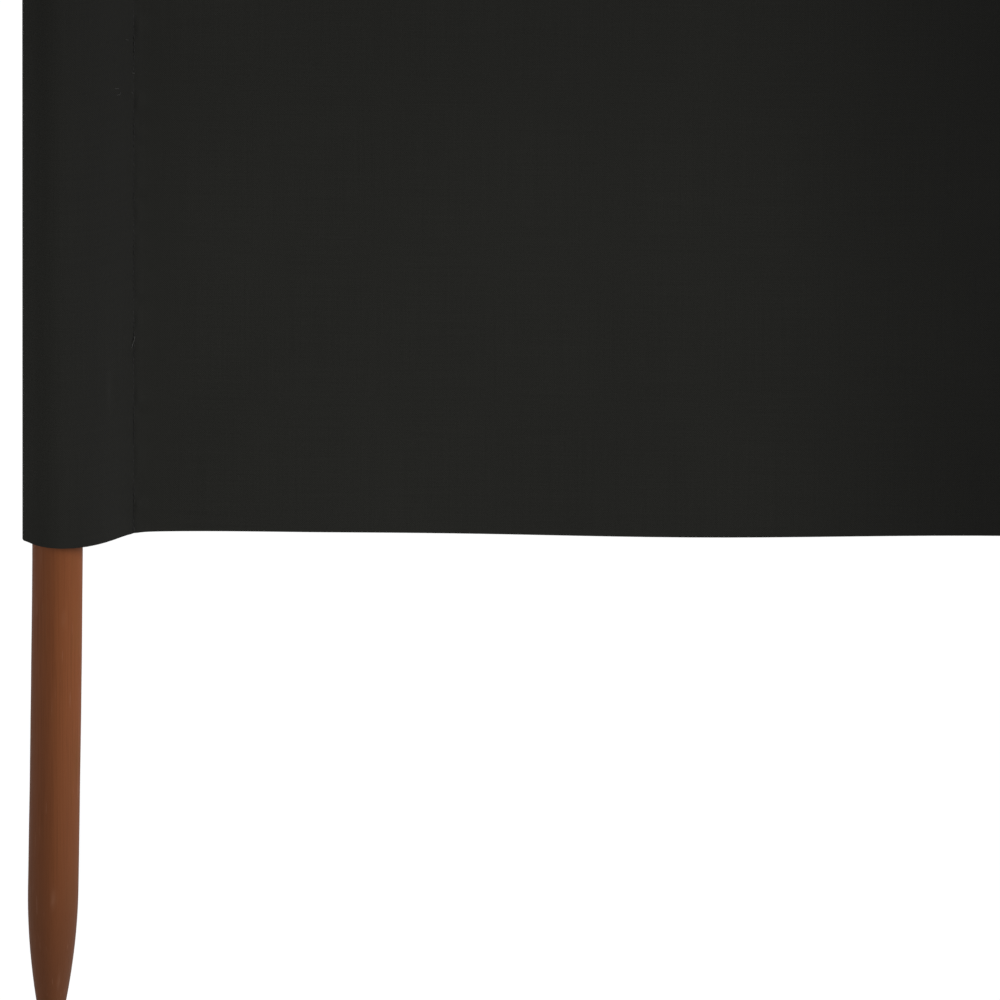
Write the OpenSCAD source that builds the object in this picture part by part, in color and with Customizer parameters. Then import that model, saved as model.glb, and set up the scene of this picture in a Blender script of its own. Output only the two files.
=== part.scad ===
// Beach windbreak: a long strip of cloth held up by a row of round wooden
// poles, each in an upright pocket sewn in the cloth. A pointed leg of each
// pole stands out below the hem and is pushed into the sand.
// X runs along the row, +Y is behind the cloth and Z is up. The pole axes are
// on Y = 0, and the origin is the centre of the middle pole's point.

/* [Row] */
// Number of bays, each a panel of cloth between two poles
bay_count = 6; // [2:2:8]
// Distance from one pole's axis to the next
bay_width = 1330; // [400:10:2000]

/* [Poles] */
// Diameter of a pole
pole_d = 28; // [20:1:36]
// Length of the bare leg, from the point to the cloth's hem
leg_length = 290; // [120:10:450]
// Length of the bare head above the cloth
head_length = 30; // [10:5:120]
// Diameter of the small flat end of the point
tip_d = 8; // [4:1:16]
// Radius of the curve that draws the pole in to its point
point_curve_r = 390; // [120:10:600]
// Radius of the worn edge at the head of a pole
head_round_r = 3; // [1:0.5:6]

/* [Cloth] */
// Height of the cloth, from its hem to its upper edge
cloth_height = 880; // [400:10:1200]
// Thickness of the cloth
cloth_t = 1; // [0.5:0.1:2]
// Gap between a pole and the cloth round it
pole_gap = 0.3; // [0.2:0.1:3]
// Width of a pocket: from seam to seam, or from the fold to the seam at an end
pocket_w = 62; // [51:1:120]
// Empty room beside an end pole, inside the folded end of the cloth
fold_slack = 4; // [0:0.5:8]
// Radius of the fold at the end of the cloth
fold_r = 4; // [2:0.5:8]
// Radius of the curve in which the cloth rises from a seam
seam_curve_r = 10; // [4:1:12]
// Width of the edge that the back layer has beyond a seam
seam_edge = 8; // [5:1:20]

/* [Hidden] */
pole_count = bay_count + 1;
middle_pole = (pole_count + 1) / 2;
pole_r = pole_d / 2;
tip_r = tip_d / 2;
pole_length = leg_length + cloth_height + head_length;

// The layer of the panels lies against the back of the poles, and the layer
// that closes the pockets lies behind it.
wrap_r = pole_r + pole_gap + cloth_t / 2;
panel_y = pole_r + pole_gap - cloth_t / 2;
back_y = panel_y + cloth_t;
seam_curve_y = panel_y - seam_curve_r;

// Middle of the fold's curve at the left end, from the end pole's axis.
fold_centre = [-(wrap_r + fold_slack - fold_r), back_y - fold_r];

// Height of the point: the arc that is upright at the full diameter is
// followed until it has come in as far as the flat end.
point_drop = pole_r - tip_r;
point_h = sqrt(2 * point_curve_r * point_drop - pow(point_drop, 2));
point_angle = asin(point_h / point_curve_r);
point_flats = 12;

// Largest turn in degrees between two flats of a curved stretch of cloth.
arc_step = 5;

function pole_x(i) = (i - middle_pole) * bay_width;
function is_end(i) = i == 1 || i == pole_count;

// Distance from pole i's axis to the seam of its pocket. An end pole stands
// near the fold, so its seam is further away.
function seam_x(i) =
    is_end(i) ? pocket_w - wrap_r - cloth_t / 2 - fold_slack : pocket_w / 2;

// Unit vector to the left of a heading, which is an angle from +X.
function left_of(heading) = [-sin(heading), cos(heading)];

// A path is a list of [point, heading]. Turning clockwise keeps the centre on
// the right, and turning the other way keeps it on the left.
function arc_steps(from, to) = max(2, ceil(abs(to - from) / arc_step));
function arc_headings(from, to) =
    [for (k = [0:arc_steps(from, to)]) from + (to - from) * k / arc_steps(from, to)];
function right_turn(centre, r, from, to) =
    [for (a = arc_headings(from, to)) [centre + r * left_of(a), a]];
function left_turn(centre, r, from, to) =
    [for (a = arc_headings(from, to)) [centre - r * left_of(a), a]];

// Slope at which the cloth leaves the panel's plane to reach the front of the
// pole: the line that touches the seam's curve on one side and the cloth
// round the pole on the other.
function rise_angle(seam) =
    asin((wrap_r + seam_curve_r) / norm([seam, seam_curve_y])) + atan2(seam_curve_y, seam);

// Heading of the line that touches the cloth round the pole and then the
// fold, both on their left side.
function fold_heading() =
    180 - atan2(fold_centre.y, -fold_centre.x)
    - asin((wrap_r - fold_r) / norm(fold_centre));

// The cloth of a pocket's front, from the left seam over the pole to the right.
function front_path(seam) =
    let (rise = rise_angle(seam))
    concat(
        right_turn([-seam, seam_curve_y], seam_curve_r, 0, -rise),
        left_turn([0, 0], wrap_r, -rise, rise),
        right_turn([seam, seam_curve_y], seam_curve_r, rise, 0)
    );

// The cloth of the left end pocket's front: from its seam to the left over the
// pole and round the fold, to where the back layer starts.
function end_path(seam) =
    let (rise = rise_angle(seam))
    concat(
        left_turn([seam, seam_curve_y], seam_curve_r, 180, 180 + rise),
        right_turn([0, 0], wrap_r, 180 + rise, fold_heading()),
        right_turn(fold_centre, fold_r, fold_heading(), 0)
    );

// Upright sheet of cloth whose middle follows a path.
module cloth_ribbon(path) {
    left_side = [for (p = path) p[0] + cloth_t / 2 * left_of(p[1])];
    right_side = [for (k = [len(path) - 1:-1:0]) path[k][0] - cloth_t / 2 * left_of(path[k][1])];
    translate([0, 0, leg_length])
        linear_extrude(cloth_height)
            polygon(concat(left_side, right_side));
}

// Flat upright strip of cloth between two places along the row.
module flat_cloth(x_from, x_to, y_middle) {
    translate([x_from, y_middle - cloth_t / 2, leg_length])
        cube([x_to - x_from, cloth_t, cloth_height]);
}

// Half of a pole's outline: the flat end, the curved point, the straight side
// and the rounded head.
function pole_outline() = concat(
    [[0, 0]],
    [for (k = [point_flats:-1:0])
        let (a = point_angle * k / point_flats)
        [pole_r - point_curve_r * (1 - cos(a)), point_h - point_curve_r * sin(a)]],
    [for (a = [0:15:90])
        [pole_r - head_round_r * (1 - cos(a)), pole_length - head_round_r * (1 - sin(a))]],
    [[0, pole_length]]
);

module pole(i) {
    color("saddlebrown")
        translate([pole_x(i), 0, 0])
            rotate_extrude($fn = 96)
                polygon(pole_outline());
}

module panel(i) {
    color([0.13, 0.13, 0.13])
        flat_cloth(pole_x(i) + seam_x(i), pole_x(i + 1) - seam_x(i + 1), panel_y);
}

module pocket_front(i) {
    color([0.16, 0.16, 0.16])
        translate([pole_x(i), 0, 0])
            mirror([i == pole_count ? 1 : 0, 0, 0])
                cloth_ribbon(is_end(i) ? end_path(seam_x(i)) : front_path(seam_x(i)));
}

module pocket_back(i) {
    reach = seam_x(i) + seam_edge;
    left_reach = i == 1 ? -fold_centre.x : reach;
    right_reach = i == pole_count ? -fold_centre.x : reach;
    color([0.11, 0.11, 0.11])
        flat_cloth(pole_x(i) - left_reach, pole_x(i) + right_reach, back_y);
}

for (i = [1:pole_count])
    pole(i);
for (i = [1:bay_count])
    panel(i);
for (i = [1:pole_count])
    pocket_front(i);
for (i = [1:pole_count])
    pocket_back(i);
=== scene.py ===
import math

import bpy
import numpy as np
from mathutils import Matrix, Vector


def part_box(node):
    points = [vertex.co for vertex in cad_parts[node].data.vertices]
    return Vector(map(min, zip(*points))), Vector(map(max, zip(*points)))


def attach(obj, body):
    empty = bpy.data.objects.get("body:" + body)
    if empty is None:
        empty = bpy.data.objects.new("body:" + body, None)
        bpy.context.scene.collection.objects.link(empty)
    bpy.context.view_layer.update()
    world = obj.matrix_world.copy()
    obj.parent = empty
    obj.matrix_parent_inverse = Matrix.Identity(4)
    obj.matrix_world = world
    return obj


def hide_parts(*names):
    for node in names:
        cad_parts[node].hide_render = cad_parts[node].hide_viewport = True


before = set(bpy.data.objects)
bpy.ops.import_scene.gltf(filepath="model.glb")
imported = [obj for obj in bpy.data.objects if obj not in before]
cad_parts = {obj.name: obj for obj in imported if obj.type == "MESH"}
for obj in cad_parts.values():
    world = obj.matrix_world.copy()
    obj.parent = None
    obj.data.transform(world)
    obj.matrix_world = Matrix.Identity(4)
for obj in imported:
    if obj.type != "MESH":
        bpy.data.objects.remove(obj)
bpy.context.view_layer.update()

bl_info = {
    "name": "Beach Windbreak",
    "version": (1, 0, 0),
    "blender": (4, 5, 0),
    "location": "3D View > Sidebar > Windbreak",
    "description": "Cloth, stakes, stitching and studio for a windbreak of several bays",
    "category": "Object",
}

MM = 0.001
BODY = "root"
FULL_TURN = 2 * math.pi
POLE_NODES = sorted(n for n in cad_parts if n.startswith("pole_"))
PANEL_NODES = sorted(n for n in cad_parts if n.startswith("panel_"))
POLE_COUNT = len(POLE_NODES)
BAY_COUNT = len(PANEL_NODES)


def span(node, axis):
    """Lowest and highest place of a CAD node along one axis, in metres."""
    low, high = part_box(node)
    return low[axis], high[axis]


POLE_X = [sum(span(n, 0)) / 2 for n in POLE_NODES]
POLE_TOP = span(POLE_NODES[0], 2)[1]
HEM, HEAD_LINE = span(PANEL_NODES[0], 2)
BAY_WIDTH = POLE_X[1] - POLE_X[0]
PANEL_Y = sum(span(PANEL_NODES[0], 1)) / 2
BACK_Y = sum(span("pocket_back_2", 1)) / 2
BACK_GAP = BACK_Y - PANEL_Y - 0.35 * MM
TALL = HEAD_LINE - HEM
# Where the random numbers of each uneven thing start, among them those of the painted shade on the stakes'
# feet and across the bays.
SEEDS = {"stake": 310, "rub": 2100, "soil": 2200, "pith": 2300, "sleeve": 520, "wear": 77, "strip": 610,
         "crease": 7040, "sleeve_right": 40, "sleeve_left": 140, "bay_left": 240, "bay_right": 340,
         "hem": 900, "belly": 930, "fade": 960, "stitch": 1200, "knot": 1300, "lint": 1600, "loose_end": 5}
# Left and right seam of each bay. The end sleeves are sewn a little closer to their stakes than in the CAD.
END_SEAM_SHIFT = 1.1 * MM
SEAMS = [list(span(n, 0)) for n in PANEL_NODES]
SEAMS[0][0] -= END_SEAM_SHIFT
SEAMS[-1][1] += END_SEAM_SHIFT


# ---- sizes and colours

def length(name, text, default, low=0.0, high=10.0):
    return bpy.props.FloatProperty(name=name, description=text, default=default, min=low, max=high,
                                   precision=5, subtype="DISTANCE", unit="LENGTH")


def angle(name, text, degrees):
    return bpy.props.FloatProperty(name=name, description=text, default=math.radians(degrees),
                                   subtype="ANGLE", unit="ROTATION")


def number(name, text, default, low=0.0, high=100.0):
    return bpy.props.FloatProperty(name=name, description=text, default=default, min=low, max=high)


def count(name, text, default, low=3, high=1000):
    return bpy.props.IntProperty(name=name, description=text, default=default, min=low, max=high)


def colour(name, text, default):
    return bpy.props.FloatVectorProperty(name=name, description=text, default=default, size=3,
                                         min=0.0, max=1.0, subtype="COLOR")


class WindbreakStakes(bpy.types.PropertyGroup):
    diameter: length("Diameter", "Width of a stake's shaft", float(np.ptp(span(POLE_NODES[3], 0))))
    tip_diameter: length("Tip diameter", "Width of the small flat end of the point", 0.008)
    point_radius: length("Point radius", "Radius of the curve that draws the shaft in to its point", 0.39)
    head_rounding: length("Head rounding", "Radius of the worn edge at the head", 0.003)
    first_lean: length("First lean", "How far the foot of the first stake stands out of line", 0.0041)
    foot_wander: length("Foot wander", "Most that the foot of another stake stands out of line", 0.003)
    sides: count("Sides", "Facets round a stake", 48)


class WindbreakCloth(bpy.types.PropertyGroup):
    thickness: length("Thickness", "Thickness of the cloth", 0.0005)
    billow: length("Billow", "How far a bay bellies to the front at its middle", 0.007)
    top_sag: length("Top sag", "How far the upper edge sags between two stakes", 0.010)
    ripple: length("Ripple", "Height of the soft waves that run over a bay", 0.00256)
    pull: length("Pull", "Height of the slanting folds at a bay's corners", 0.0011)
    hem_wave: length("Hem wave", "How far the hem rises and falls along a bay", 0.0007)
    hem_wave_length: length("Hem wave length", "Distance from one rise of the hem to the next", 0.385)
    pucker: length("Pucker", "Height of the small puckers beside a seam", 0.0004)
    sleeve_swell: length("Sleeve swell", "How far a sleeve's front stands off unevenly", 0.0009)
    seam_draw: length("Seam draw", "How far a seam draws the cloth forward out of its plane", 0.0025)
    seam_fall: length("Seam fall", "Distance over which that dies away", 0.0036)
    columns: count("Columns", "Mesh columns across a bay", 96)
    sleeve_columns: count("Sleeve columns", "Mesh columns round a sleeve", 44)


class WindbreakSeams(bpy.types.PropertyGroup):
    stitch: length("Stitch", "Length of one stitch", 0.0030)
    gap: length("Gap", "Gap between two stitches", 0.0009)
    thread: length("Thread", "Thickness of the sewing thread", 0.00048)


class WindbreakFinish(bpy.types.PropertyGroup):
    # Painted shade darkens this colour over the bays, round the sleeves and in the seams' creases.
    cloth: colour("Cloth", "Colour of the black cloth where it is least faded", (0.0143, 0.0144, 0.0124))
    stain: colour("Stain", "Middle colour of the stained wood", (0.150, 0.042, 0.0105))
    stain_dark: colour("Dark stain", "Colour of the stain that gathers in the grain", (0.119, 0.035, 0.0086))
    stain_light: colour("Light stain", "Colour of the stain on the paler grain", (0.182, 0.056, 0.0150))
    stain_olive: colour("Olive stain", "Colour of the stain in its greener patches", (0.118, 0.048, 0.0085))
    bare_wood: colour("Bare wood", "Colour of the wood where it is rubbed or scratched", (0.24, 0.12, 0.075))
    # Painted shade: this dark colour is laid on the stakes' feet, most at the bottom.
    soil: colour("Soil", "Colour that damp and sand give a stake's foot", (0.012, 0.008, 0.005))
    thread: colour("Thread", "Colour of the sewing thread", (0.0095, 0.0095, 0.009))
    fluff: colour("Fluff", "Colour of lint and loose thread", (0.052, 0.052, 0.049))
    weave: length("Weave", "Distance from one yarn to the next", 0.00062)
    ring: length("Growth ring", "Distance from one growth ring to the next, on the stakes' heads", 0.0021)


class WindbreakStudio(bpy.types.PropertyGroup):
    elevation: angle("Camera elevation", "Height of the camera above level", 18.5)
    distance: length("Camera distance", "Distance from the camera to what it looks at", 25.0, 1.0, 100.0)
    frame_width: length("Frame width", "Width of the view at that distance", 0.5512)
    aim_along: length("Aim along", "Place the camera looks at, along the row from the first stake", 0.2436)
    aim_height: length("Aim height", "Height of the place that the camera looks at", 0.3091)
    roll: angle("Camera roll", "Turn of the camera about its own line of sight", 0.18)
    floor_radius: length("Floor radius", "Radius of the studio floor", 600.0, 10.0, 5000.0)
    fill: number("Fill light", "Brightness of the even light from all round", 0.48)
    key: number("Key light", "Strength of the broad light from the front and right", 2.9)
    key_azimuth: angle("Key azimuth", "Way the key light comes from, to the right of the front", 68)
    key_elevation: angle("Key elevation", "Height of the key light above level", 30)
    key_size: angle("Key size", "Width of the key light as the object sees it", 35)
    back: number("Back light", "Strength of the low light from behind", 1.5)
    back_azimuth: angle("Back azimuth", "Way the back light comes from, to the right of the front", 172)
    back_elevation: angle("Back elevation", "Height of the back light above level", 4)
    back_size: angle("Back size", "Width of the back light as the object sees it", 20)


# ---- meshes

SHARP = math.radians(50)


def put_mesh(name, points, blocks, uv=None, marks=None):
    """A mesh object at the origin. Each block of faces is an array with one row of point numbers for each
    face. uv gives each point's place on the flat cloth, and marks its named values."""
    mesh = bpy.data.meshes.new(name)
    mesh.from_pydata(points.tolist(), [], [face for block in blocks for face in block.tolist()])
    mesh.update()
    mesh.polygons.foreach_set("use_smooth", np.ones(len(mesh.polygons), bool))
    if uv is not None:
        corner = np.zeros(len(mesh.loops), np.int32)
        mesh.loops.foreach_get("vertex_index", corner)
        layer = mesh.uv_layers.new(name="flat_cloth")
        layer.data.foreach_set("uv", uv[corner].astype(np.float32).ravel())
    for mark, values in (marks or {}).items():
        mesh.attributes.new(mark, "FLOAT", "POINT").data.foreach_set("value", values.astype(np.float32))
    mesh.set_sharp_from_angle(angle=SHARP)
    piece = bpy.data.objects.new(name, mesh)
    bpy.context.scene.collection.objects.link(piece)
    return piece


def finish_piece(piece, material, nodes=()):
    """Gives a new piece its material and its body, and hides the CAD nodes that it stands for."""
    piece.data.materials.append(shared_material(material))
    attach(piece, BODY)
    if nodes:
        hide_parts(*nodes)


def grid_quads(rows, columns, wrap=False):
    """Quads of a grid of rows x columns points; with wrap the last column joins the first."""
    r, c = np.meshgrid(np.arange(rows - 1), np.arange(columns if wrap else columns - 1), indexing="ij")
    n = (c + 1) % columns
    quads = np.stack([r * columns + c, r * columns + n, (r + 1) * columns + n, (r + 1) * columns + c], -1)
    return quads.reshape(-1, 4)


def round_angles(sides, start=0.0):
    """Even angles once round, from the start."""
    return np.linspace(0, FULL_TURN, sides, endpoint=False) + start


def fan(ring, hub, under=False):
    """Triangles from a ring of points to one point in its middle, facing up, or down with under."""
    pair = [ring, np.roll(ring, -1)]
    return np.stack([*(pair[::-1] if under else pair), np.full(len(ring), hub)], -1)


def closed_tube(rows, sides):
    """Faces of rows of rings, and of the two points that follow them and close the low and the high end."""
    ring, total = np.arange(sides), rows * sides
    return [grid_quads(rows, sides, wrap=True), fan(ring, total, under=True),
            fan(total - sides + ring, total + 1)]


def cloth_shell(middle, thickness, square_edges=(False, False)):
    """Closed skin round a sheet. A front point is P + N t/2 and a back point P - N t/2, where P is the middle
    surface and N its unit normal, the cross product of the change of P along a row and up a column. At a
    square edge N is taken as straight to the front, so that two sheets that meet there share their points."""
    rows, columns = middle.shape[:2]
    along = np.gradient(middle, axis=1)
    up = np.gradient(middle, axis=0)
    normal = np.cross(along, up)
    normal /= np.linalg.norm(normal, axis=-1, keepdims=True)
    for edge, square in zip((0, -1), square_edges):
        if square:
            normal[:, edge] = (0, -1, 0)
    half = normal * thickness / 2
    points = np.concatenate([(middle + half).reshape(-1, 3), (middle - half).reshape(-1, 3)])
    size = rows * columns
    index = np.arange(size).reshape(rows, columns)

    def rim(line):
        """Quads from a line of front points to the same line behind."""
        return np.stack([line[:-1] + size, line[1:] + size, line[1:], line[:-1]], -1)

    quads = grid_quads(rows, columns)
    return points, np.concatenate([
        quads, quads[:, ::-1] + size, rim(index[0]), rim(index[-1])[:, ::-1],
        rim(index[:, 0])[:, ::-1], rim(index[:, -1])])


def walk(points):
    """Length walked along a line of points, as it adds up from its start."""
    return np.concatenate([[0], np.cumsum(np.linalg.norm(np.diff(points, axis=0), axis=1))])


def cubic(corners, steps):
    """Cubic curve from its four corners: sum over k of C(3,k) (1-t)^(3-k) t^k corner_k, for t from 0 to 1."""
    t = np.linspace(0, 1, steps)[:, None]
    a, b, c, d = np.array(corners, float)
    return (1 - t) ** 3 * a + 3 * (1 - t) ** 2 * t * b + 3 * (1 - t) * t ** 2 * c + t ** 3 * d


def draws(what, index=0):
    """Random numbers that are the same on every run, with a series of its own for each piece."""
    return np.random.default_rng(SEEDS[what] + index)


def smooth_step(x, low, high):
    """0 below low, 1 above high, and 3 t^2 - 2 t^3 between, where t is the share of the way."""
    t = np.clip((x - low) / (high - low), 0, 1)
    return t * t * (3 - 2 * t)


def hump(x, width):
    """Soft hump, 1 at its middle: e^(-(x / width)^2)."""
    return np.exp(-(x / width) ** 2)


def crowded(columns, crowd):
    """Shares of a width from 0 to 1 that lie closer together at its ends: q - crowd sin(2 pi q) / 2 pi."""
    q = np.linspace(0, 1, columns)
    return q - crowd * np.sin(FULL_TURN * q) / FULL_TURN


def soft_noise(rng, x, period, octaves=3):
    """Smooth uneven line: a sum of sines, about period, period/2 and so on long, in seeded phases."""
    total = np.zeros_like(x)
    for octave in range(octaves):
        spread = rng.uniform(0.8, 1.25, 2)
        phase = rng.uniform(0, FULL_TURN, 2)
        for s, p in zip(spread, phase):
            total = total + np.sin(FULL_TURN * x * 2 ** octave * s / period + p) / 2 ** (octave + 1)
    return total


def cloth_rows():
    """Heights of the mesh rows: 2.6 mm apart up to 0.33 m above the hem, then opening out to 17 mm, with a
    row of its own beside either edge."""
    rim = 0.6 * MM
    low = HEM + np.concatenate([[0, rim], np.arange(2.8, 330, 2.6) * MM])
    steps = np.linspace(3.0, 16.5, 56)
    high = low[-1] + np.cumsum(steps) * (HEAD_LINE - low[-1] - rim) / steps.sum()
    return np.concatenate([low, high, [HEAD_LINE]])


# ---- stakes

def stake_outline(sizes):
    """Radius r at each height z. In the point r = r0 - R + sqrt(R^2 - (h - z)^2), an arc of radius R that is
    upright where it meets the shaft, of radius r0. The head turns in on a quarter circle to a domed end."""
    shaft, tip, arc = sizes.diameter / 2, sizes.tip_diameter / 2, sizes.point_radius
    height = math.sqrt(arc ** 2 - (arc - shaft + tip) ** 2)
    z_point = height * np.linspace(0, 1, 26)[1:] ** 1.1
    point = np.stack([shaft - arc + np.sqrt(arc ** 2 - (height - z_point) ** 2), z_point], -1)
    worn = 1.2 * MM
    turn = np.linspace(0, np.pi / 2, 5)
    end = np.stack([tip - worn * (1 - np.sin(turn)), worn * (1 - np.cos(turn))], -1)
    flat = np.array([[0.9, 0.0], [1.9, 0.0]]) * MM
    z_shaft = np.concatenate([np.arange(height + 0.003, HEM + 0.02, 0.004),
                              np.linspace(HEM + 0.024, POLE_TOP - sizes.head_rounding, 46)[:-1]])
    side = np.stack([np.full(len(z_shaft), shaft), z_shaft], -1)
    corner = np.linspace(0, np.pi / 2, 9)
    dome, rounding = 0.5 * MM, sizes.head_rounding
    head = np.stack([shaft - rounding * (1 - np.cos(corner)),
                     POLE_TOP - dome - (rounding - dome) * (1 - np.sin(corner))], -1)
    r_top = np.linspace(shaft - rounding, 0.8 * MM, 7)[1:]
    top = np.stack([r_top, POLE_TOP - dome * (r_top / (shaft - rounding)) ** 2], -1)
    return np.concatenate([flat, end, point, side, head, top])


def rubbed_marks(index, a, z):
    """Short pale upright rubs on a stake's leg, about 2 mm wide and 9 mm tall. Each is the product of a hump
    round the stake and a hump up it, at a seeded angle and height and of a seeded strength."""
    rng = draws("rub", index)
    places = [(-math.pi / 2 + 0.04, 0.085, 0.32)] if index == 0 else []
    for _ in range(4):
        places.append((rng.uniform(-math.pi, math.pi), rng.uniform(0.03, 0.26), rng.uniform(0.1, 0.3)))
    marks = 0
    for facing, height, strength in places:
        turn = np.angle(np.exp(1j * (a - facing)))
        marks = marks + strength * hump(turn, 0.07) * hump(z - height, 4.5 * MM)
    return marks


def soiled_foot(index, a, z):
    """Painted shade on a stake's foot, darker towards the bottom. It fades out upwards, and one side has more
    of it, by low(z) (0.225 + 0.19 c) + 0.16 max(c, 0) band(z), where c is the cosine of the angle from that
    side. On the first stake that side is its right, from which the key light comes; on the others it is
    seeded."""
    rng = draws("soil", index)
    facing = rng.uniform(-math.pi, math.pi) if index else 0.0
    c = np.cos(a - facing)
    low = 1 - smooth_step(z, 0.0, 0.12)
    band = smooth_step(z, 0.0, 0.07) * (1 - smooth_step(z, 0.08, 0.22))
    return low * (0.225 + 0.19 * c) + 0.16 * np.maximum(c, 0) * band


def pith_distance(index, east, north):
    """Distance of each point from the growth rings' middle, which lies at a seeded place near the axis."""
    pith = draws("pith", index).uniform(-6, 6, 2) * MM
    return np.hypot(east - pith[0], north - pith[1])


def stake_surface(sizes, index):
    """A stake turned on its outline. P(a, z) = axis(z) + r(z) (1 + uneven(a, z)) (cos a, sin a), where the
    axis bends out of line below the cloth and the unevenness is that of a hand-sanded shaft."""
    rng = draws("stake", index)
    outline = stake_outline(sizes)
    r, z = outline[:, 0], outline[:, 1]
    a = round_angles(sizes.sides, -np.pi / 2)
    below, bend, reach = HEM - 12 * MM - z, 50 * MM, 0.3
    ease = bend * np.log1p(np.exp(below / bend)) * (z <= HEM + reach)
    leg = (0.2 * np.maximum(below, 0) + 0.8 * ease) / HEM
    if index == 0:
        drift_x, drift_y = -sizes.first_lean, 0.0
    else:
        drift_x, drift_y = rng.uniform(-1, 1, 2) * (sizes.foot_wander, sizes.foot_wander * 0.5)
    curve = 0.64 * leg + 0.36 * leg ** 2
    axis_x = POLE_X[index] + drift_x * curve + 0.00015 * soft_noise(rng, z, 0.9, 2)
    axis_y = drift_y * curve
    oval = 0.0035 * np.cos(2 * a[None] + rng.uniform(0, 6))
    three_sided = 0.0030 * np.sin(3 * a[None] + 9 * z[:, None] + rng.uniform(0, 6))
    uneven = oval + three_sided + 0.0022 * soft_noise(rng, z[:, None] * np.ones_like(a)[None], 0.11, 3)
    radius = r[:, None] * (1 + uneven * smooth_step(r, 0.001, 0.006)[:, None])
    grid = np.stack([axis_x[:, None] + radius * np.cos(a), axis_y[:, None] + radius * np.sin(a),
                     z[:, None] * np.ones_like(a)], -1)
    rows, sides = grid.shape[:2]
    bottom = np.array([[axis_x[0], axis_y[0], 0.0]])
    top = np.array([[axis_x[-1], axis_y[-1], POLE_TOP]])
    points = np.concatenate([grid.reshape(-1, 3), bottom, top])
    faces = closed_tube(rows, sides)
    rubbed = np.append(rubbed_marks(index, a[None], z[:, None]).ravel(), (0, 0))
    soiled = np.append(soiled_foot(index, a[None], z[:, None]).ravel(), (0.225, 0))
    axis = np.append(np.repeat(axis_x, sides), (axis_x[0], axis_x[-1]))
    from_pith = pith_distance(index, points[:, 0] - axis, points[:, 1])
    return points, faces, {"rubbed": rubbed, "soiled": soiled, "from_pith": from_pith}


# ---- cloth

# Plans of the sleeves as cubic curves, in mm from a stake's axis. The first is an end sleeve, from behind the
# fold to its seam; the second is half of a middle sleeve, from its crown to its seam.
END_SLEEVE = (
    ((0, 14.45), (-10, 14.45), (-14, 6), (-17.2, 2.8)),
    ((-17.2, 2.8), (-20, 1.4), (-20, -2.4), (-17.2, -3.4)),
    ((-17.2, -3.4), (-14.5, -7), (-8, -14.9), (2, -14.9)),
    ((2, -14.9), (14.5, -14.9), (23.5, -8.0), (31, 0.3)),
    ((31, 0.3), (34.2, 3.6), (39.5, 9.9), (42.7, 12.0)),
)
HALF_SLEEVE = (
    ((0, -14.9), (9.5, -14.9), (15.5, -10.0), (21, -2.0)),
    ((21, -2.0), (23.2, 1.2), (27.6, 9.6), (31, 12.0)),
)


def joined_curves(curves, seam, seam_y):
    """The curves end to end. Their last two corners are moved so that they end on the seam's own place."""
    shift = np.array([seam, seam_y]) - curves[-1][-1]
    last = np.array(curves[-1]) + np.outer((0, 0.3, 1, 1), shift)
    runs = [cubic(c, 90) for c in (*curves[:-1], last)]
    return np.concatenate([runs[0]] + [r[1:] for r in runs[1:]])


def sleeve_section(cloth, index):
    """Plan of a sleeve's front from left to right, in metres from the stake's axis. An end sleeve starts
    behind the fold, and a middle one runs from seam to seam over the stake."""
    seam_y = (PANEL_Y - cloth.seam_draw) / MM
    right = (SEAMS[index][0] - POLE_X[index]) / MM if index < BAY_COUNT else 0
    left = (POLE_X[index] - SEAMS[index - 1][1]) / MM if index else 0
    if 0 < index < POLE_COUNT - 1:
        rise = joined_curves(HALF_SLEEVE, right, seam_y)
        plan = np.concatenate([(joined_curves(HALF_SLEEVE, left, seam_y) * (-1, 1))[::-1], rise[1:]])
    else:
        plan = joined_curves(END_SLEEVE, right if index == 0 else left, seam_y)
        if index:
            plan = (plan * (-1, 1))[::-1]
    return plan * MM


def even_section(plan, columns):
    """The same plan in columns that are closer together near the seams, with the way walked to each."""
    way = walk(plan)
    target = way[-1] * crowded(columns, 0.55)
    return np.stack([np.interp(target, way, plan[:, k]) for k in (0, 1)], -1), target


def seam_pucker(distance, z, rng, height):
    """Puckers that a line of stitches draws up: none on the seam, highest 2 mm beside it, gone by 15 mm."""
    fall = np.exp(-np.maximum(distance - 2 * MM, 0) / (4.5 * MM))
    rise = smooth_step(distance, 0.0, 2.2 * MM) * fall
    waves = soft_noise(rng, z, 0.017, 2) + 0.6 * soft_noise(rng, z, 0.041, 2)
    return height * rise * (0.55 + waves)


def sleeve_wear(x, z, index):
    """How rubbed a sleeve's front is: soft upright patches, 2 mm wide and 26 mm tall, each the product of a
    hump across and a hump up, at a seeded place and height and of a seeded strength."""
    rng = draws("wear", index)
    places = [(0.0283, 0.3785, 0.30)] if index == 0 else []
    for _ in range(5):
        places.append((rng.uniform(-0.010, 0.024), rng.uniform(0.62, 1.15), rng.uniform(0.12, 0.35)))
    worn = np.zeros(np.broadcast(x, z).shape)
    for px, pz, strength in places:
        worn += strength * hump(x - px, 1.0 * MM) * hump(z - pz, 13 * MM)
    return np.clip(worn, 0, 1)


def painted_facing_shade(side):
    """Painted shade by the way the cloth faces: its grey is kept at 1.12 where it faces the near end of the
    row and darkened to 0.56 where it faces the far end, the side from which the key light comes."""
    return 1.12 - 0.56 * smooth_step(side, -0.45, 0.60)


def painted_crease_shade(distance, z, index):
    """Painted shade in the crease in which a seam lies, 1 mm wide and stronger in some stretches than others.
    """
    uneven = soft_noise(draws("crease", index), z, 0.055, 2)
    strength = np.clip(0.13 + 0.17 * uneven, 0.02, 0.42)
    return 1 - strength * hump(distance, 0.8 * MM)


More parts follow.
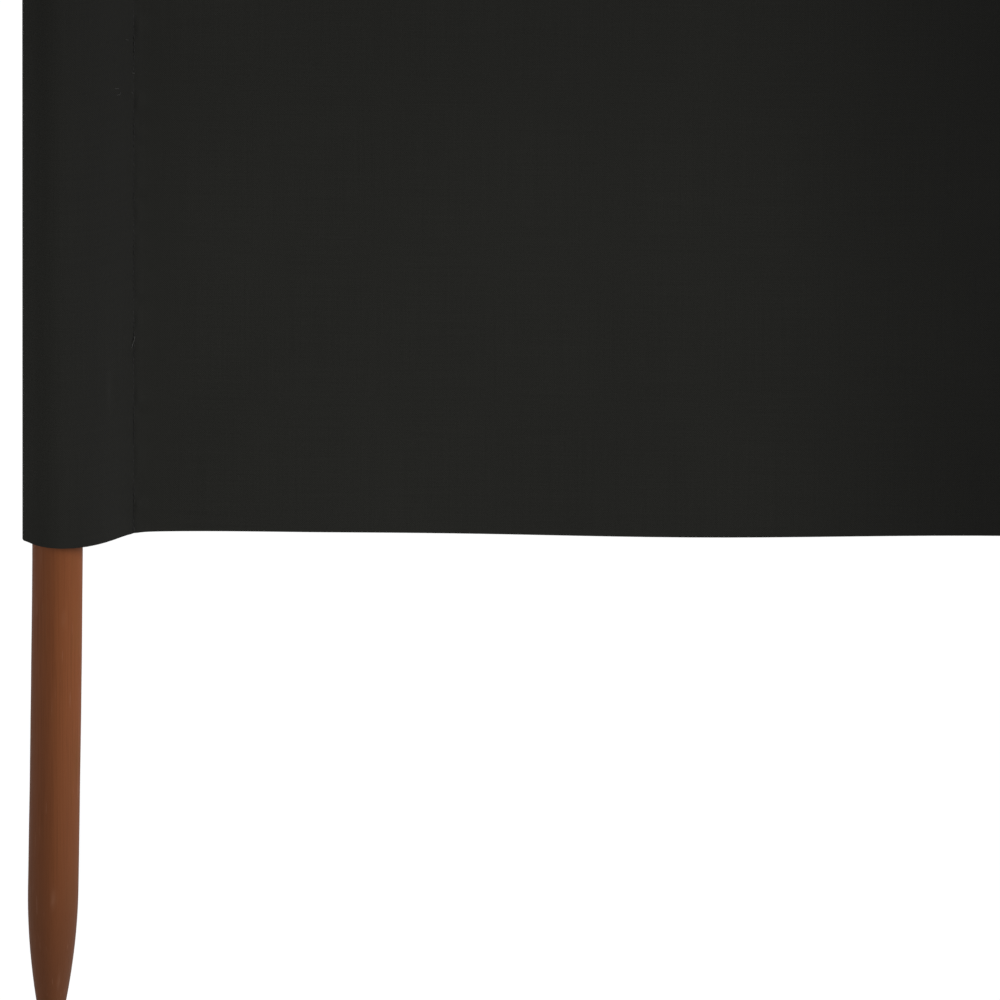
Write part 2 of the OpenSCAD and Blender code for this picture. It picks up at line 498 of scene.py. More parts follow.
def sleeve_front(cloth, index):
    """A sleeve's middle surface: its plan carried up the stake. Each row stands off a little more or less, by
    N swell(z) sin^2(pi q), where q is the share of the way round from one edge to the other. The corner of
    the first sleeve's fold rides up a little at the hem."""
    rng = draws("sleeve", index)
    plan, way = even_section(sleeve_section(cloth, index), cloth.sleeve_columns)
    z = cloth_rows()
    share = way / way[-1]
    tangent = np.gradient(plan, axis=0)
    outward = np.stack([tangent[:, 1], -tangent[:, 0]], -1)
    outward /= np.linalg.norm(outward, axis=1, keepdims=True)
    swell = cloth.sleeve_swell * (0.5 + 0.42 * soft_noise(rng, z, 0.24, 2))
    facing = np.clip(-outward[:, 1], 0, 1) * np.sin(np.pi * share) ** 2
    lift = np.clip(swell, 0, None)[:, None] * facing
    lift = lift + 0.22 * MM * (1 + soft_noise(rng, z[:, None] + 0.7 * share, 0.06, 2)) * facing
    edges = [(way[-1] - way, "sleeve_right")] if index < BAY_COUNT else []
    edges += [(way, "sleeve_left")] if index else []
    for distance, edge in edges:
        lift = lift + seam_pucker(distance[None], z[:, None], draws(edge, index), cloth.pucker)
    flat = plan[None] + outward[None] * lift[..., None]
    corner = (index == 0) * hump(plan[:, 0] + 18.5 * MM, 4.2 * MM)
    ease = np.clip(1 - (z - HEM) / 0.05, 0, 1)[:, None] ** 2
    middle = np.stack([POLE_X[index] + flat[..., 0], flat[..., 1], z[:, None] + 0.3 * MM * corner * ease], -1)
    uv = np.stack(np.meshgrid(POLE_X[index] + way - way[-1] / 2, z), -1)
    worn = sleeve_wear(flat[..., 0], uv[..., 1], index)
    nearest = np.min([distance for distance, _ in edges], axis=0)
    # Painted shade: darker where the sleeve turns towards the key light, and in the crease of each seam.
    dye = painted_facing_shade(outward[:, 0]) * painted_crease_shade(nearest[None], z[:, None], index)
    return middle, uv, {"worn": worn, "dye": dye}, way[-1]


def bay_lines(cloth, bay, s, width):
    """Heights of a bay's hem and upper edge. The hem rises and falls as a cosine that fades out at the seams,
    and the upper edge hangs as half a sine between two stakes."""
    rng = draws("hem", bay)
    start = 0.085 if bay == 0 else rng.uniform(0, cloth.hem_wave_length)
    fade = 1 - np.exp(-np.minimum(s, width - s) / 0.02)
    wave = 0.6 + np.cos(FULL_TURN * (s - start) / cloth.hem_wave_length)
    hem = HEM + cloth.hem_wave * fade * wave
    top = HEAD_LINE - cloth.top_sag * np.sin(np.pi * s / width) * (1 + 0.12 * np.sin(3 * np.pi * s / width))
    return hem, top


def bay_belly(cloth, bay, s, t, width):
    """How far a bay stands to the front of the straight line between its seams: a half sine across, a little
    fuller at the hem than at the upper edge, with soft slanting waves that fade out at the seams."""
    rng = draws("belly", bay)
    across = np.sin(np.pi * s / width)
    belly = cloth.billow * across * (0.86 + 0.14 * np.cos(np.pi * t))
    inside = smooth_step(np.minimum(s, width - s), 0.0, 0.12)
    z = t * TALL
    waves = 0
    for _ in range(5):
        wave_length = rng.uniform(0.16, 0.42)
        slant = rng.uniform(-0.35, 0.35)
        waves = waves + np.sin(FULL_TURN * (s + slant * z) / wave_length + rng.uniform(0, 6.28)) / 5
    pulls = 0
    for corner_s, corner_t in ((0, 0), (0, 1), (1, 0), (1, 1)):
        ds = np.abs(s - corner_s * width)
        dz = np.abs(z - corner_t * TALL)
        far, slant = np.hypot(ds, dz), np.arctan2(dz, ds + 20 * MM)
        fold = np.sin(slant * rng.uniform(9, 13) + rng.uniform(0, 6.28))
        pulls = pulls + fold * smooth_step(far, 0.02, 0.12) * np.exp(-far / 0.22)
    return belly + inside * (cloth.ripple * waves + cloth.pull * pulls)


def painted_bay_shade(bay, s, t):
    """Painted shade over a bay: the cloth's grey is kept at 1 near the stakes and darkened about the middle,
    by (1 - slow(s)) (1 - depth (1 - step(w))), where w = (1 + cos(2 pi (s + lean (t - 1/2) + shift) / L)) / 2
    and L is the bay's width between its stakes."""
    rng = draws("fade", bay)
    depth, lean, shift = rng.uniform(0.26, 0.44), rng.uniform(-0.16, 0.16), rng.uniform(-0.07, 0.07)
    if bay == 0:
        depth, lean, shift = 0.59, 0.0, 0.0
    wave = np.cos(FULL_TURN * (s + lean * (t - 0.5) + shift) / BAY_WIDTH)
    slow = 0.045 * smooth_step(np.minimum(s, BAY_WIDTH - s), 0.10, 0.30)
    return (1 - slow) * (1 - depth * (1 - smooth_step((1 + wave) / 2, 0.02, 0.48)))


def drawn(cloth, distance):
    """How far the cloth is drawn forward beside a seam: draw e^(-distance / fall)."""
    return cloth.seam_draw * np.exp(-np.abs(distance) / cloth.seam_fall)


def bay_panel(cloth, bay):
    """A bay's middle surface: x runs evenly between the seams, z between the hem and the upper edge, and
    y = plane - belly(s, z) - drawn(s) - puckers(s, z)."""
    left, right = SEAMS[bay]
    width = right - left
    s = width * crowded(cloth.columns, 0.93)
    rows = cloth_rows()
    t = (rows - HEM) / TALL
    hem, top = bay_lines(cloth, bay, s, width)
    grid_s, grid_t = np.meshgrid(s, t)
    z = hem[None] + t[:, None] * (top - hem)[None]
    lift = bay_belly(cloth, bay, grid_s, grid_t, width) + drawn(cloth, s) + drawn(cloth, width - s)
    for distance, edge in ((grid_s, "bay_left"), (width - grid_s, "bay_right")):
        lift = lift + seam_pucker(distance, grid_t * TALL, draws(edge, bay), cloth.pucker)
    middle = np.stack([left + grid_s, PANEL_Y - lift, z], -1)
    uv = np.stack([left + grid_s, z], -1)
    # Painted shade: the cloth drawn in at each seam is darkened where it turns towards the key light.
    slope = (drawn(cloth, s) - drawn(cloth, width - s)) / cloth.seam_fall
    dye = painted_facing_shade(slope / np.hypot(1, slope)) / (painted_facing_shade(0.0) + 0.08 * np.abs(slope))
    dye = dye * painted_crease_shade(grid_s, z, bay) * painted_crease_shade(width - grid_s, z, bay + 1)
    # Painted shade: each bay darkens about its middle.
    dye = dye * painted_bay_shade(bay, left - POLE_X[bay] + grid_s, grid_t)
    return middle, uv, {"worn": np.zeros_like(dye), "dye": dye}, width


def seams_beside(index):
    """The bay and the place along the row of each seam that a sleeve is sewn by, from left to right."""
    return [(bay, SEAMS[bay][end]) for bay, end in ((index - 1, 1), (index, 0)) if 0 <= bay < BAY_COUNT]


def sleeve_back(cloth, index):
    """The strip that closes a sleeve behind: flat behind the stake, drawn in with the panel at a seam, and
    lying on the panel beyond it. y = panel's y + gap, with its columns closer together at a seam."""
    left, right = span(f"pocket_back_{index + 1}", 0)
    near = np.array([-8, -5, -3, -1.7, -0.8, 0, 0.8, 1.7, 3, 5]) * MM
    x = np.concatenate([np.linspace(left, right, 12)] + [seam + near for _, seam in seams_beside(index)])
    x = np.unique(np.round(x[(x >= left) & (x <= right)], 5))
    z = np.append(cloth_rows()[:-1:2], HEAD_LINE)
    t = (z - HEM) / TALL
    y = np.full((len(z), len(x)), PANEL_Y + BACK_GAP)
    for bay, seam in seams_beside(index):
        start, end = SEAMS[bay]
        s, rise = np.meshgrid(np.clip(x - start, 0, end - start), t)
        y = y - bay_belly(cloth, bay, s, rise, end - start) - drawn(cloth, x - seam)
    loose_reach, looseness = 28 * MM, 0.6 * MM
    off = np.clip((x - POLE_X[index]) / loose_reach, -1, 1)
    uneven = 1.2 + soft_noise(draws("strip", index), z, 0.13, 2)
    y = y + looseness * np.cos(np.pi / 2 * off) * uneven[:, None]
    uv = np.stack(np.meshgrid(x, z), -1)
    middle = np.stack([uv[..., 0], y, uv[..., 1]], -1)
    return middle, uv, {"worn": np.zeros(y.shape), "dye": np.ones(y.shape)}, right - left


def hang_sheet(name, node, surface, thickness, square_edges=(False, False)):
    """A sheet's closed skin in place of its CAD node, with the same flat place and marks on its front and its
    back."""
    middle, uv, marks, width = surface
    points, faces = cloth_shell(middle, thickness, square_edges)
    both = np.concatenate([uv.reshape(-1, 2)] * 2)
    marks = {mark: np.concatenate([values.ravel()] * 2) for mark, values in marks.items()}
    piece = put_mesh(name, points, [faces], both, marks)
    finish_piece(piece, "black_plain_weave", [node])


# ---- stitching and fluff

def bead_template(sides=5):
    """A stitch of length 1 along z and radius 1: two rings between two end points, 20 triangles."""
    a = round_angles(sides)
    ring = np.stack([np.cos(a), np.sin(a), np.zeros(sides)], -1)
    points = np.concatenate([[[0, 0, -0.5]], ring + (0, 0, -0.3), ring + (0, 0, 0.3), [[0, 0, 0.5]]])
    low = np.arange(sides) + 1
    high, turned = low + sides, np.roll(low, -1)
    side_a = np.stack([low, turned, turned + sides], -1)
    side_b = np.stack([low, turned + sides, high], -1)
    return points, np.concatenate([fan(low, 0, under=True), fan(high, 2 * sides + 1), side_a, side_b])


def stitch_row(centres, sizes, rng):
    """One bead for each centre: template x (thread/2, thread/2, length), leaned a few degrees, then moved."""
    template, faces = bead_template()
    total = len(centres)
    long = sizes.stitch * rng.uniform(0.82, 1.08, total)
    lean = rng.uniform(-0.09, 0.09, total)
    wide = sizes.thread / 2 * rng.uniform(0.85, 1.15, total)
    points = template[None] * np.stack([wide, wide, long], -1)[:, None]
    points[..., 0] += lean[:, None] * points[..., 2]
    points = points + centres[:, None]
    shift = len(template) * np.arange(total)[:, None, None]
    return points.reshape(-1, 3), [(faces[None] + shift).reshape(-1, 3)]


def tube(path, radius, sides=6):
    """A fibre: rings of the given radii square to a path, with a point closing each end."""
    path = np.asarray(path, float)
    radius = np.broadcast_to(radius, len(path))
    tangent = np.gradient(path, axis=0)
    tangent /= np.linalg.norm(tangent, axis=1, keepdims=True)
    side = np.cross(tangent, (0.13, 0.95, 0.28))
    side /= np.linalg.norm(side, axis=1, keepdims=True)
    other = np.cross(tangent, side)
    a = round_angles(sides)[None, :, None]
    rings = path[:, None] + radius[:, None, None] * (side[:, None] * np.cos(a) + other[:, None] * np.sin(a))
    tip = path[-1] + tangent[-1] * radius[-1]
    tail = path[0] - tangent[0] * radius[0]
    return np.concatenate([rings.reshape(-1, 3), [tail], [tip]]), closed_tube(len(path), sides)


def join_parts(parts):
    """Several (points, blocks of faces) as one."""
    starts = np.cumsum([0] + [len(points) for points, _ in parts])
    blocks = [block + start for (_, own), start in zip(parts, starts) for block in own]
    return np.concatenate([points for points, _ in parts]), blocks


def knot(centre, size, rng):
    """Threads sewn over each other where a seam starts: a helix that is wider than it is deep."""
    t = np.linspace(0, 1, 30)
    turn = FULL_TURN * rng.uniform(2.6, 3.6) * t
    path = size * np.stack([0.45 * np.sin(turn), -0.22 * np.cos(turn), 1.5 * t - 0.75], -1)
    return tube(np.asarray(centre) + path, size * 0.26 * (0.75 + 0.25 * np.sin(9 * t)))


def curl(start, end, bow, seed, steps=14):
    """Path of a loose fibre: a line from start to end with a seeded bow to the side and the front."""
    rng = np.random.default_rng(seed)
    t = np.linspace(0, 1, steps)[:, None]
    start, end = np.asarray(start, float), np.asarray(end, float)
    sideways = np.array([rng.uniform(-1, 1), -rng.uniform(0.3, 1), rng.uniform(-1, 1)])
    wiggle = 0.35 * np.sin(FULL_TURN * t * rng.uniform(1.2, 2.2) + rng.uniform(0, 6))
    return start + (end - start) * t + bow * sideways * np.sin(np.pi * t) * (1 + wiggle)


# Bits of lint beside the first seam: distance from the seam, height above the hem and half length, in mm.
LINT = ((3.6, 287.2, 0.8), (0.1, 267.0, 0.8), (9.2, 261.0, 1.2), (8.0, 257.5, 1.0), (0.6, 255.5, 0.7))


# ---- materials

class Strand:
    """An output socket of a recipe's node. Sums and products of strands and numbers add Math nodes."""

    def __init__(self, recipe, socket):
        self.recipe, self.socket = recipe, socket

    def other(self, name):
        return Strand(self.recipe, self.socket.node.outputs[name])

    def math(self, operation, *terms):
        return self.recipe.node("ShaderNodeMath", {"operation": operation}, dict(enumerate(terms)))

    def __add__(self, term):
        return self.math("ADD", self, term)

    __radd__ = __add__

    def __sub__(self, term):
        return self.math("SUBTRACT", self, term)

    def __rsub__(self, term):
        return self.math("SUBTRACT", term, self)

    def __mul__(self, term):
        return self.math("MULTIPLY", self, term)

    __rmul__ = __mul__

    def sine(self):
        return self.math("SINE", self)

    def clamped(self, low=0.0, high=1.0):
        return self.math("MINIMUM", self.math("MAXIMUM", self, low), high)

    def step(self, low, high):
        """0 below low, 1 above high and smooth between."""
        return self.recipe.node("ShaderNodeMapRange", {"interpolation_type": "SMOOTHSTEP"},
                                {"Value": self, "From Min": low, "From Max": high})


class Recipe:
    """The node tree of a new material or world."""

    def __init__(self, owner):
        owner.use_nodes = True
        self.owner, self.tree = owner, owner.node_tree

    def own(self, kind):
        """The node of a type that every such tree starts with."""
        return next(n for n in self.tree.nodes if n.type == kind)

    def node(self, kind, settings=None, inputs=None, output=0):
        """A new node with its settings, then the values or links of its sockets. Gives one of its outputs."""
        made = self.tree.nodes.new(kind)
        for key, value in (settings or {}).items():
            if key == "stops":
                ramp = made.color_ramp
                while len(ramp.elements) < len(value):
                    ramp.elements.new(0.5)
                for element, (place, shade) in zip(ramp.elements, value):
                    element.position, element.color = place, (*shade, 1.0)
            else:
                setattr(made, key, value)
        for key, value in (inputs or {}).items():
            self.feed(made.inputs[key], value)
        return Strand(self, made.outputs[output])

    def feed(self, socket, value):
        if isinstance(value, Strand):
            self.tree.links.new(value.socket, socket)
        else:
            socket.default_value = value

    def set(self, **values):
        shader = self.own("BSDF_PRINCIPLED")
        for key, value in values.items():
            self.feed(shader.inputs[key.replace("_", " ")], value)

    def place(self):
        return self.node("ShaderNodeTexCoord", output="Object")

    def mark(self, name):
        """A value that the mesh carries at each of its points."""
        return self.node("ShaderNodeAttribute", {"attribute_name": name}, output="Fac")

    def noise(self, vector, scale=1.0, detail=2.0, roughness=0.55):
        inputs = {"Vector": vector, "Scale": scale, "Detail": detail, "Roughness": roughness}
        return self.node("ShaderNodeTexNoise", None, inputs)

    def grain(self, vector, scales, detail=2.0, roughness=0.55, turn=(0, 0, 0)):
        """Noise with a scale of its own along each axis, in patches to the metre."""
        inputs = {"Vector": vector, "Scale": scales, "Rotation": turn}
        return self.noise(self.node("ShaderNodeMapping", None, inputs), 1.0, detail, roughness)

    def mix(self, share, a, b, blend="MIX"):
        settings = {"data_type": "RGBA", "blend_type": blend}
        return self.node("ShaderNodeMix", settings, {0: share, 6: a, 7: b}, 2)

    def layered(self, base, *layers):
        """A colour with others laid over it in turn, each by its share."""
        for share, layer in layers:
            base = self.mix(share, base, layer)
        return base

    def bump(self, height, distance, strength):
        inputs = {"Height": height, "Distance": distance, "Strength": strength}
        return self.node("ShaderNodeBump", None, inputs)

    def split(self, vector):
        return self.node("ShaderNodeSeparateXYZ", None, {0: vector})


def tone(colour_value, factor=1.0):
    """A setting's colour, lighter or darker by a factor, as a shader takes it."""
    return (*[min(1.0, c * factor) for c in colour_value], 1.0)


def cloth_material(name, finish):
    """Black plain weave: yarns over and under as sin(u) sin(v), uneven yarns both ways, the painted shade
    that the sheet carries, a slow fade with height, and pale rubbed marks."""
    recipe = Recipe(bpy.data.materials.new(name))
    flat = recipe.node("ShaderNodeUVMap", {"uv_map": "flat_cloth"})
    u = recipe.split(flat)
    v = u.other("Y")
    turn = math.pi / finish.weave
    weave = (u * turn).sine() * (v * turn).sine()
    weft = recipe.grain(flat, (16, 1400, 1))
    warp = recipe.grain(flat, (1400, 11, 1))
    cloudy = recipe.grain(flat, (9, 7, 1), 3.0)
    fine = recipe.grain(flat, (900, 900, 1))
    height = recipe.split(recipe.place()).other("Z").step(0.42, 0.62)
    fade = 1 - height * 0.16
    uneven = (weft - 0.5) * 0.30 + (warp - 0.5) * 0.24 + (cloudy - 0.5) * 0.22 + (fine - 0.5) * 0.20 + 1
    # The mark read here is painted shade: it darkens the grey over the bays, round the sleeves and in the
    # seams' creases.
    depth = (uneven * fade * recipe.mark("dye") * (weave * 0.06 + 0.98)).clamped(0, 2) * 0.5
    streaks = (warp.step(0.35, 0.75) * 0.6 + fine * 0.4) * recipe.mark("worn")
    base = recipe.layered((0, 0, 0, 1), (depth, tone(finish.cloth, 2.0)),
                          (streaks.clamped() * 0.55, tone(finish.fluff, 0.8)))
    normal = recipe.bump(weave * 0.4 + (weft + warp) * 0.4, 0.00013, 0.7)
    recipe.set(Base_Color=base, Roughness=(fine * 0.1 + 0.86), Specular_IOR_Level=0.16, Normal=normal)
    return recipe.owner


def wood_material(name, finish):
    """Turned softwood under a thin brown stain: the grain runs up the stake, so noise is drawn out along z.
    Over it lie dark pores, greener patches, painted shade that darkens the leg towards the bottom, the head's
    growth rings as a sine of the way from the pith, more painted shade on the foot, and pale scratches and
    rubs."""
    recipe = Recipe(bpy.data.materials.new(name))
    place = recipe.place()
    height = recipe.split(place).other("Z")
    broad = recipe.grain(place, (150, 150, 2.2))
    streak = recipe.grain(place, (520, 520, 5.5), 3.0, 0.6)
    hair = recipe.grain(place, (1900, 1900, 26), 2.0, 0.6)
    cloudy = recipe.grain(place, (40, 40, 18))
    scratch = recipe.grain(place, (700, 700, 42), 1.0, turn=(0.05, 0.03, 0))
    pores = 1 - hair.step(0.36, 0.46)
    # Painted shade: the leg darkens towards the bottom.
    low = 1 - height.step(0.02, 0.27)
    rings = (recipe.mark("from_pith") * (FULL_TURN / finish.ring) + cloudy * 2.5).sine() * 0.5 + 0.5
    end_grain = height.step(POLE_TOP - 1.8 * MM, POLE_TOP - 0.7 * MM)
    pale = (scratch.step(0.70, 0.76) * 0.20 + recipe.mark("rubbed")).clamped()
    stain = recipe.node("ShaderNodeValToRGB", {"stops": [
        (0.18, finish.stain_dark), (0.50, finish.stain), (0.84, finish.stain_light)]},
        {"Fac": broad * 0.4 + streak * 0.4 + hair * 0.2})
    base = recipe.layered(
        stain,
        (pores * 0.20, tone(finish.stain_dark, 0.8)),
        (cloudy.step(0.5, 0.72) * 0.28, tone(finish.stain_olive)),
        (low * 0.64, tone(finish.stain_dark, 0.92)),
        (end_grain * (rings * 0.45 + 0.25), tone(finish.stain_dark, 0.35)),
        # Painted shade on the foot, darkest at the bottom.
        (recipe.mark("soiled"), tone(finish.soil)),
        (pale, tone(finish.bare_wood)))
    normal = recipe.bump(streak * 0.5 + hair * 0.5, 0.00022, 0.5)
    recipe.set(Base_Color=base, Roughness=(0.48 + cloudy * 0.12 + pores * 0.12), Specular_IOR_Level=0.17,
               Normal=normal)
    return recipe.owner


def thread_material(name, tone_value, rough):
    """Twisted thread: slanting turns of the plies as a sine of z and x, and small changes of colour."""
    recipe = Recipe(bpy.data.materials.new(name))
    place = recipe.place()
    x = recipe.split(place)
    twist = ((x.other("Z") * 9000) + x * 5200).sine()
    patch = recipe.noise(place, 700.0)
    base = recipe.mix(patch, tone(tone_value, 0.7), tone(tone_value, 1.3))
    recipe.set(Base_Color=base, Roughness=patch * 0.2 + rough, Specular_IOR_Level=0.3,
               Normal=recipe.bump(twist, 0.00006, 0.6))
    return recipe.owner


MATERIALS = {
    "black_plain_weave": cloth_material,
    "stained_pine": wood_material,
    "black_thread": lambda name, finish: thread_material(name, finish.thread, 0.6),
    "pale_lint": lambda name, finish: thread_material(name, finish.fluff, 0.8),
}


def shared_material(name):
    """A material that several pieces share, made when the first of them asks for it."""
    return bpy.data.materials.get(name) or MATERIALS[name](name, bpy.context.scene.windbreak_finish)


# ---- operators

class OBJECT_OT_windbreak_stakes(bpy.types.Operator):
    """Build the pointed stakes"""
    bl_idname = "object.windbreak_stakes"
    bl_label = "Stakes"

    def execute(self, context):
        sizes = context.scene.windbreak_stakes
        for index in range(POLE_COUNT):
            points, faces, marks = stake_surface(sizes, index)
            piece = put_mesh(f"stake_{index + 1}", points, faces, marks=marks)
            finish_piece(piece, "stained_pine", [f"pole_{index + 1}"])
        return {"FINISHED"}


class OBJECT_OT_windbreak_bays(bpy.types.Operator):
    """Build the cloth between the stakes, one panel a bay"""
    bl_idname = "object.windbreak_bays"
    bl_label = "Bay cloths"

    def execute(self, context):
        cloth = context.scene.windbreak_cloth
        for bay in range(BAY_COUNT):
            hang_sheet(f"bay_cloth_{bay + 1}", f"panel_{bay + 1}", bay_panel(cloth, bay), cloth.thickness,
                       (True, True))
        return {"FINISHED"}


class OBJECT_OT_windbreak_sleeves(bpy.types.Operator):
    """Build the sleeves that hold the stakes, each a bulging front and a flat strip behind"""
    bl_idname = "object.windbreak_sleeves"
    bl_label = "Sleeves"

    def execute(self, context):
        cloth = context.scene.windbreak_cloth
        for index in range(POLE_COUNT):
            n, pole = index + 1, f"pole_{index + 1}"
            inner_edges = (index > 0, n < POLE_COUNT)
            hang_sheet(f"sleeve_front_{n}", f"pocket_front_{n}", sleeve_front(cloth, index),
                       cloth.thickness, inner_edges)
            hang_sheet(f"sleeve_back_{n}", f"pocket_back_{n}", sleeve_back(cloth, index),
                       cloth.thickness)
        return {"FINISHED"}


class OBJECT_OT_windbreak_seams(bpy.types.Operator):
    """Sew the seams beside the stakes, front and back, with a knot at each end"""
    bl_idname = "object.windbreak_seams"
    bl_label = "Seams"

    def execute(self, context):
        sizes, cloth = context.scene.windbreak_seams, context.scene.windbreak_cloth
        pitch = sizes.stitch + sizes.gap
        for index in range(POLE_COUNT):
            rng = draws("stitch", index)
            parts = []
            for _, x in seams_beside(index):
                z = np.arange(HEM + 3 * MM, HEAD_LINE - 3 * MM, pitch)
                z = z + rng.uniform(-0.12, 0.12, len(z)) * sizes.gap
                wander = 0.22 * MM * soft_noise(rng, z, 0.05, 2)
                for side, gap in ((-1, 0.0), (1, BACK_GAP)):
                    surface = PANEL_Y - cloth.seam_draw + side * cloth.thickness / 2 + gap
                    y = surface + side * sizes.thread * 0.22
                    row = np.stack([x + wander, np.full(len(z), y), z], -1)
                    parts.append(stitch_row(row, sizes, rng))
                    for end in (HEM + 2.2 * MM, HEAD_LINE - 2.2 * MM):
                        centre = (x, surface + side * 0.2 * MM, end)
                        parts.append(knot(centre, 1.3 * MM, draws("knot", index)))
            piece = put_mesh(f"seam_thread_{index + 1}", *join_parts(parts))
            finish_piece(piece, "black_thread")
        return {"FINISHED"}


class OBJECT_OT_windbreak_fluff(bpy.types.Operator):
    """Add the few loose threads and bits of lint that cling to the cloth"""
    bl_idname = "object.windbreak_fluff"
    bl_label = "Loose threads and lint"

    def execute(self, context):
        cloth = context.scene.windbreak_cloth
        seam, front = SEAMS[0][0], PANEL_Y - cloth.seam_draw - cloth.thickness / 2
        low_end = (seam - 1.6 * MM, front - 1.5 * MM, HEM + 107.5 * MM)
        high_end = (seam + 0.7 * MM, front - 0.5 * MM, HEM + 114.6 * MM)
        loose = curl(low_end, high_end, 0.6 * MM, SEEDS["loose_end"])
        parts = [tube(loose, 0.17 * MM * np.linspace(1, 0.7, len(loose)))]
        rng = draws("lint")
        for back, above, reach in LINT:
            centre = np.array([seam, front, HEM]) + np.array([-back, -0.5 - back * 1.02, above]) * MM
            way = rng.uniform(-0.9, 0.9)
            step = reach * MM * np.array([math.cos(way), math.cos(way) * 0.8, math.sin(way)])
            path = curl(centre - step, centre + step, 0.4 * MM, int(rng.integers(1, 9999)), 10)
            parts.append(tube(path, 0.10 * MM, 5))
        for bay in range(BAY_COUNT):
            left, right = SEAMS[bay]
            for _ in range(3):
                s, z = rng.uniform(0.05, right - left - 0.05), rng.uniform(0.66, 1.1)
                t = (z - HEM) / TALL
                lift = float(bay_belly(cloth, bay, np.array(s), np.array(t), right - left))
                y = PANEL_Y - cloth.thickness / 2 - lift - 0.2 * MM
                reach = rng.uniform(1, 3) * MM
                far_end = (left + s + reach, y, z + rng.uniform(-2, 2) * MM)
                path = curl((left + s - reach, y, z), far_end, 0.5 * MM, int(rng.integers(1, 9999)), 8)
                parts.append(tube(path, 0.12 * MM, 5))
        finish_piece(put_mesh("loose_threads", *join_parts(parts)), "pale_lint")
        return {"FINISHED"}


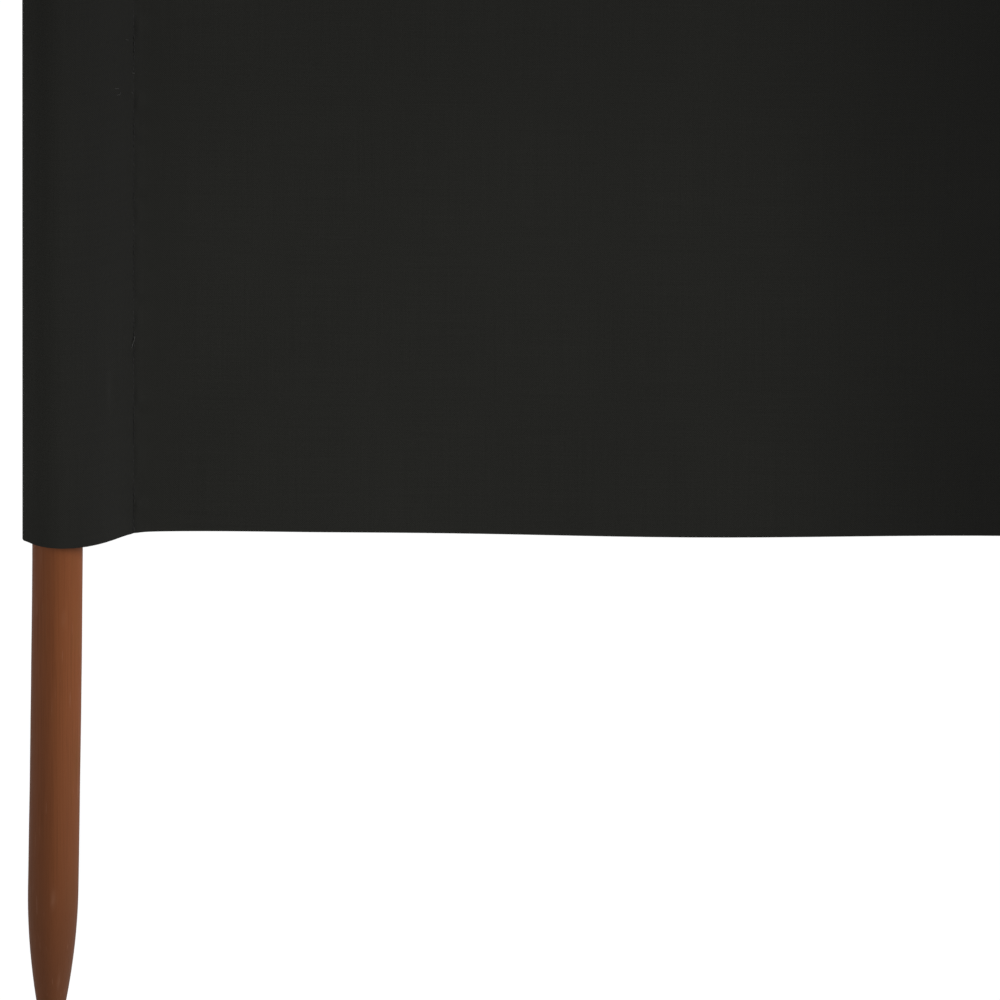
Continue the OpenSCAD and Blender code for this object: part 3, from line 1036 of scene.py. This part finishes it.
class SCENE_OT_windbreak_studio(bpy.types.Operator):
    """Lay the pale floor, set the soft lights and aim the camera"""
    bl_idname = "scene.windbreak_studio"
    bl_label = "Studio"

    def execute(self, context):
        studio = context.scene.windbreak_studio
        self.lay_floor(studio)
        self.set_world(context.scene, studio)
        self.hang_light("broad_key", studio.key, studio.key_size, studio.key_azimuth, studio.key_elevation)
        self.hang_light("low_back", studio.back, studio.back_size, studio.back_azimuth,
                        studio.back_elevation)
        self.aim_camera(context.scene, studio)
        return {"FINISHED"}

    def hang_light(self, name, strength, size, azimuth, elevation):
        """A far lamp, of the given width as the object sees it."""
        lamp = bpy.data.lights.new(name, "SUN")
        lamp.energy, lamp.angle = strength, size
        light = bpy.data.objects.new(name, lamp)
        light.rotation_euler = (math.pi / 2 - elevation, 0, azimuth)
        bpy.context.scene.collection.objects.link(light)

    def lay_floor(self, studio):
        """A flat disc: rings that widen outwards, round a hub. It glows a little where the camera sees it, so
        that it runs into the white of the world."""
        rings, spokes = 24, 96
        r = np.geomspace(2.0, studio.floor_radius, rings)[:, None]
        a = round_angles(spokes)
        grid = np.stack([r * np.cos(a), r * np.sin(a), np.zeros((rings, spokes))], -1)
        points = np.concatenate([grid.reshape(-1, 3), [[0, 0, 0]]])
        faces = [grid_quads(rings, spokes, wrap=True)[:, ::-1], fan(np.arange(spokes), len(points) - 1)]
        floor = put_mesh("studio_floor", points, faces)
        recipe = Recipe(bpy.data.materials.new("pale_floor"))
        grain = recipe.noise(recipe.place(), 3.0)
        recipe.set(Base_Color=recipe.mix(grain, (0.78, 0.78, 0.77, 1), (0.82, 0.82, 0.81, 1)), Roughness=0.9,
                   Specular_IOR_Level=0.1)
        seen = recipe.node("ShaderNodeLightPath", output="Is Camera Ray")
        glow = recipe.node("ShaderNodeEmission", None, {"Color": (1, 1, 1, 1), "Strength": 1.07})
        matt = Strand(recipe, recipe.own("BSDF_PRINCIPLED").outputs[0])
        both = recipe.node("ShaderNodeMixShader", None, {0: seen * 0.90, 1: matt, 2: glow})
        recipe.feed(recipe.own("OUTPUT_MATERIAL").inputs["Surface"], both)
        floor.data.materials.append(recipe.owner)

    def set_world(self, scene, studio):
        """Even light from all round, and plain white where the camera sees past the floor."""
        recipe = Recipe(bpy.data.worlds.new("studio_light"))
        seen = recipe.node("ShaderNodeLightPath", output="Is Camera Ray")
        level = recipe.node("ShaderNodeMapRange", None, {"Value": seen, "To Min": studio.fill, "To Max": 1.0})
        air = recipe.own("BACKGROUND")
        recipe.feed(air.inputs["Color"], (1, 1, 1, 1))
        recipe.feed(air.inputs["Strength"], level)
        scene.world = recipe.owner

    def aim_camera(self, scene, studio):
        """A long lens in front of the first stake, tilted down and rolled a little, with no shift."""
        lens = bpy.data.cameras.new("studio_camera")
        lens.type, lens.sensor_fit, lens.sensor_width = "PERSP", "HORIZONTAL", 36.0
        lens.lens = lens.sensor_width * studio.distance / studio.frame_width
        lens.clip_start, lens.clip_end = 0.5, 1500.0
        camera = bpy.data.objects.new("studio_camera", lens)
        aim = np.array([POLE_X[0] + studio.aim_along, PANEL_Y, studio.aim_height])
        back = np.array([0, -math.cos(studio.elevation), math.sin(studio.elevation)])
        tilt = Matrix.Rotation(math.pi / 2 - studio.elevation, 4, "X")
        roll = Matrix.Rotation(studio.roll, 4, "Z")
        camera.matrix_world = Matrix.Translation(aim + back * studio.distance) @ tilt @ roll
        scene.collection.objects.link(camera)
        scene.camera = camera
        scene.view_settings.view_transform = "Standard"


class VIEW3D_PT_windbreak(bpy.types.Panel):
    """The windbreak's sizes, colours and pieces"""
    bl_idname = "VIEW3D_PT_windbreak"
    bl_label = "Windbreak"
    bl_space_type = "VIEW_3D"
    bl_region_type = "UI"
    bl_category = "Windbreak"

    def draw(self, context):
        for name, (group, operators) in GROUPS.items():
            box = self.layout.box()
            for setting in group.__annotations__:
                box.prop(getattr(context.scene, name), setting)
            for operator in operators:
                box.operator(operator)


# The settings on the scene, with the operators that use them, in the order of the panel.
GROUPS = {
    "windbreak_studio": (WindbreakStudio, ["scene.windbreak_studio"]),
    "windbreak_stakes": (WindbreakStakes, ["object.windbreak_stakes"]),
    "windbreak_cloth": (WindbreakCloth, ["object.windbreak_bays", "object.windbreak_sleeves"]),
    "windbreak_seams": (WindbreakSeams, ["object.windbreak_seams"]),
    "windbreak_finish": (WindbreakFinish, ["object.windbreak_fluff"]),
}
CLASSES = (*[group for group, _ in GROUPS.values()], SCENE_OT_windbreak_studio, OBJECT_OT_windbreak_stakes,
           OBJECT_OT_windbreak_bays, OBJECT_OT_windbreak_sleeves, OBJECT_OT_windbreak_seams,
           OBJECT_OT_windbreak_fluff, VIEW3D_PT_windbreak)


def register():
    for cls in CLASSES:
        bpy.utils.register_class(cls)
    for name, (group, _) in GROUPS.items():
        setattr(bpy.types.Scene, name, bpy.props.PointerProperty(type=group))


def unregister():
    for name in GROUPS:
        delattr(bpy.types.Scene, name)
    for cls in reversed(CLASSES):
        bpy.utils.unregister_class(cls)


def main():
    register()
    bpy.ops.scene.windbreak_studio()
    bpy.ops.object.windbreak_stakes()
    bpy.ops.object.windbreak_bays()
    bpy.ops.object.windbreak_sleeves()
    bpy.ops.object.windbreak_seams()
    bpy.ops.object.windbreak_fluff()


if __name__ == "__main__":
    main()
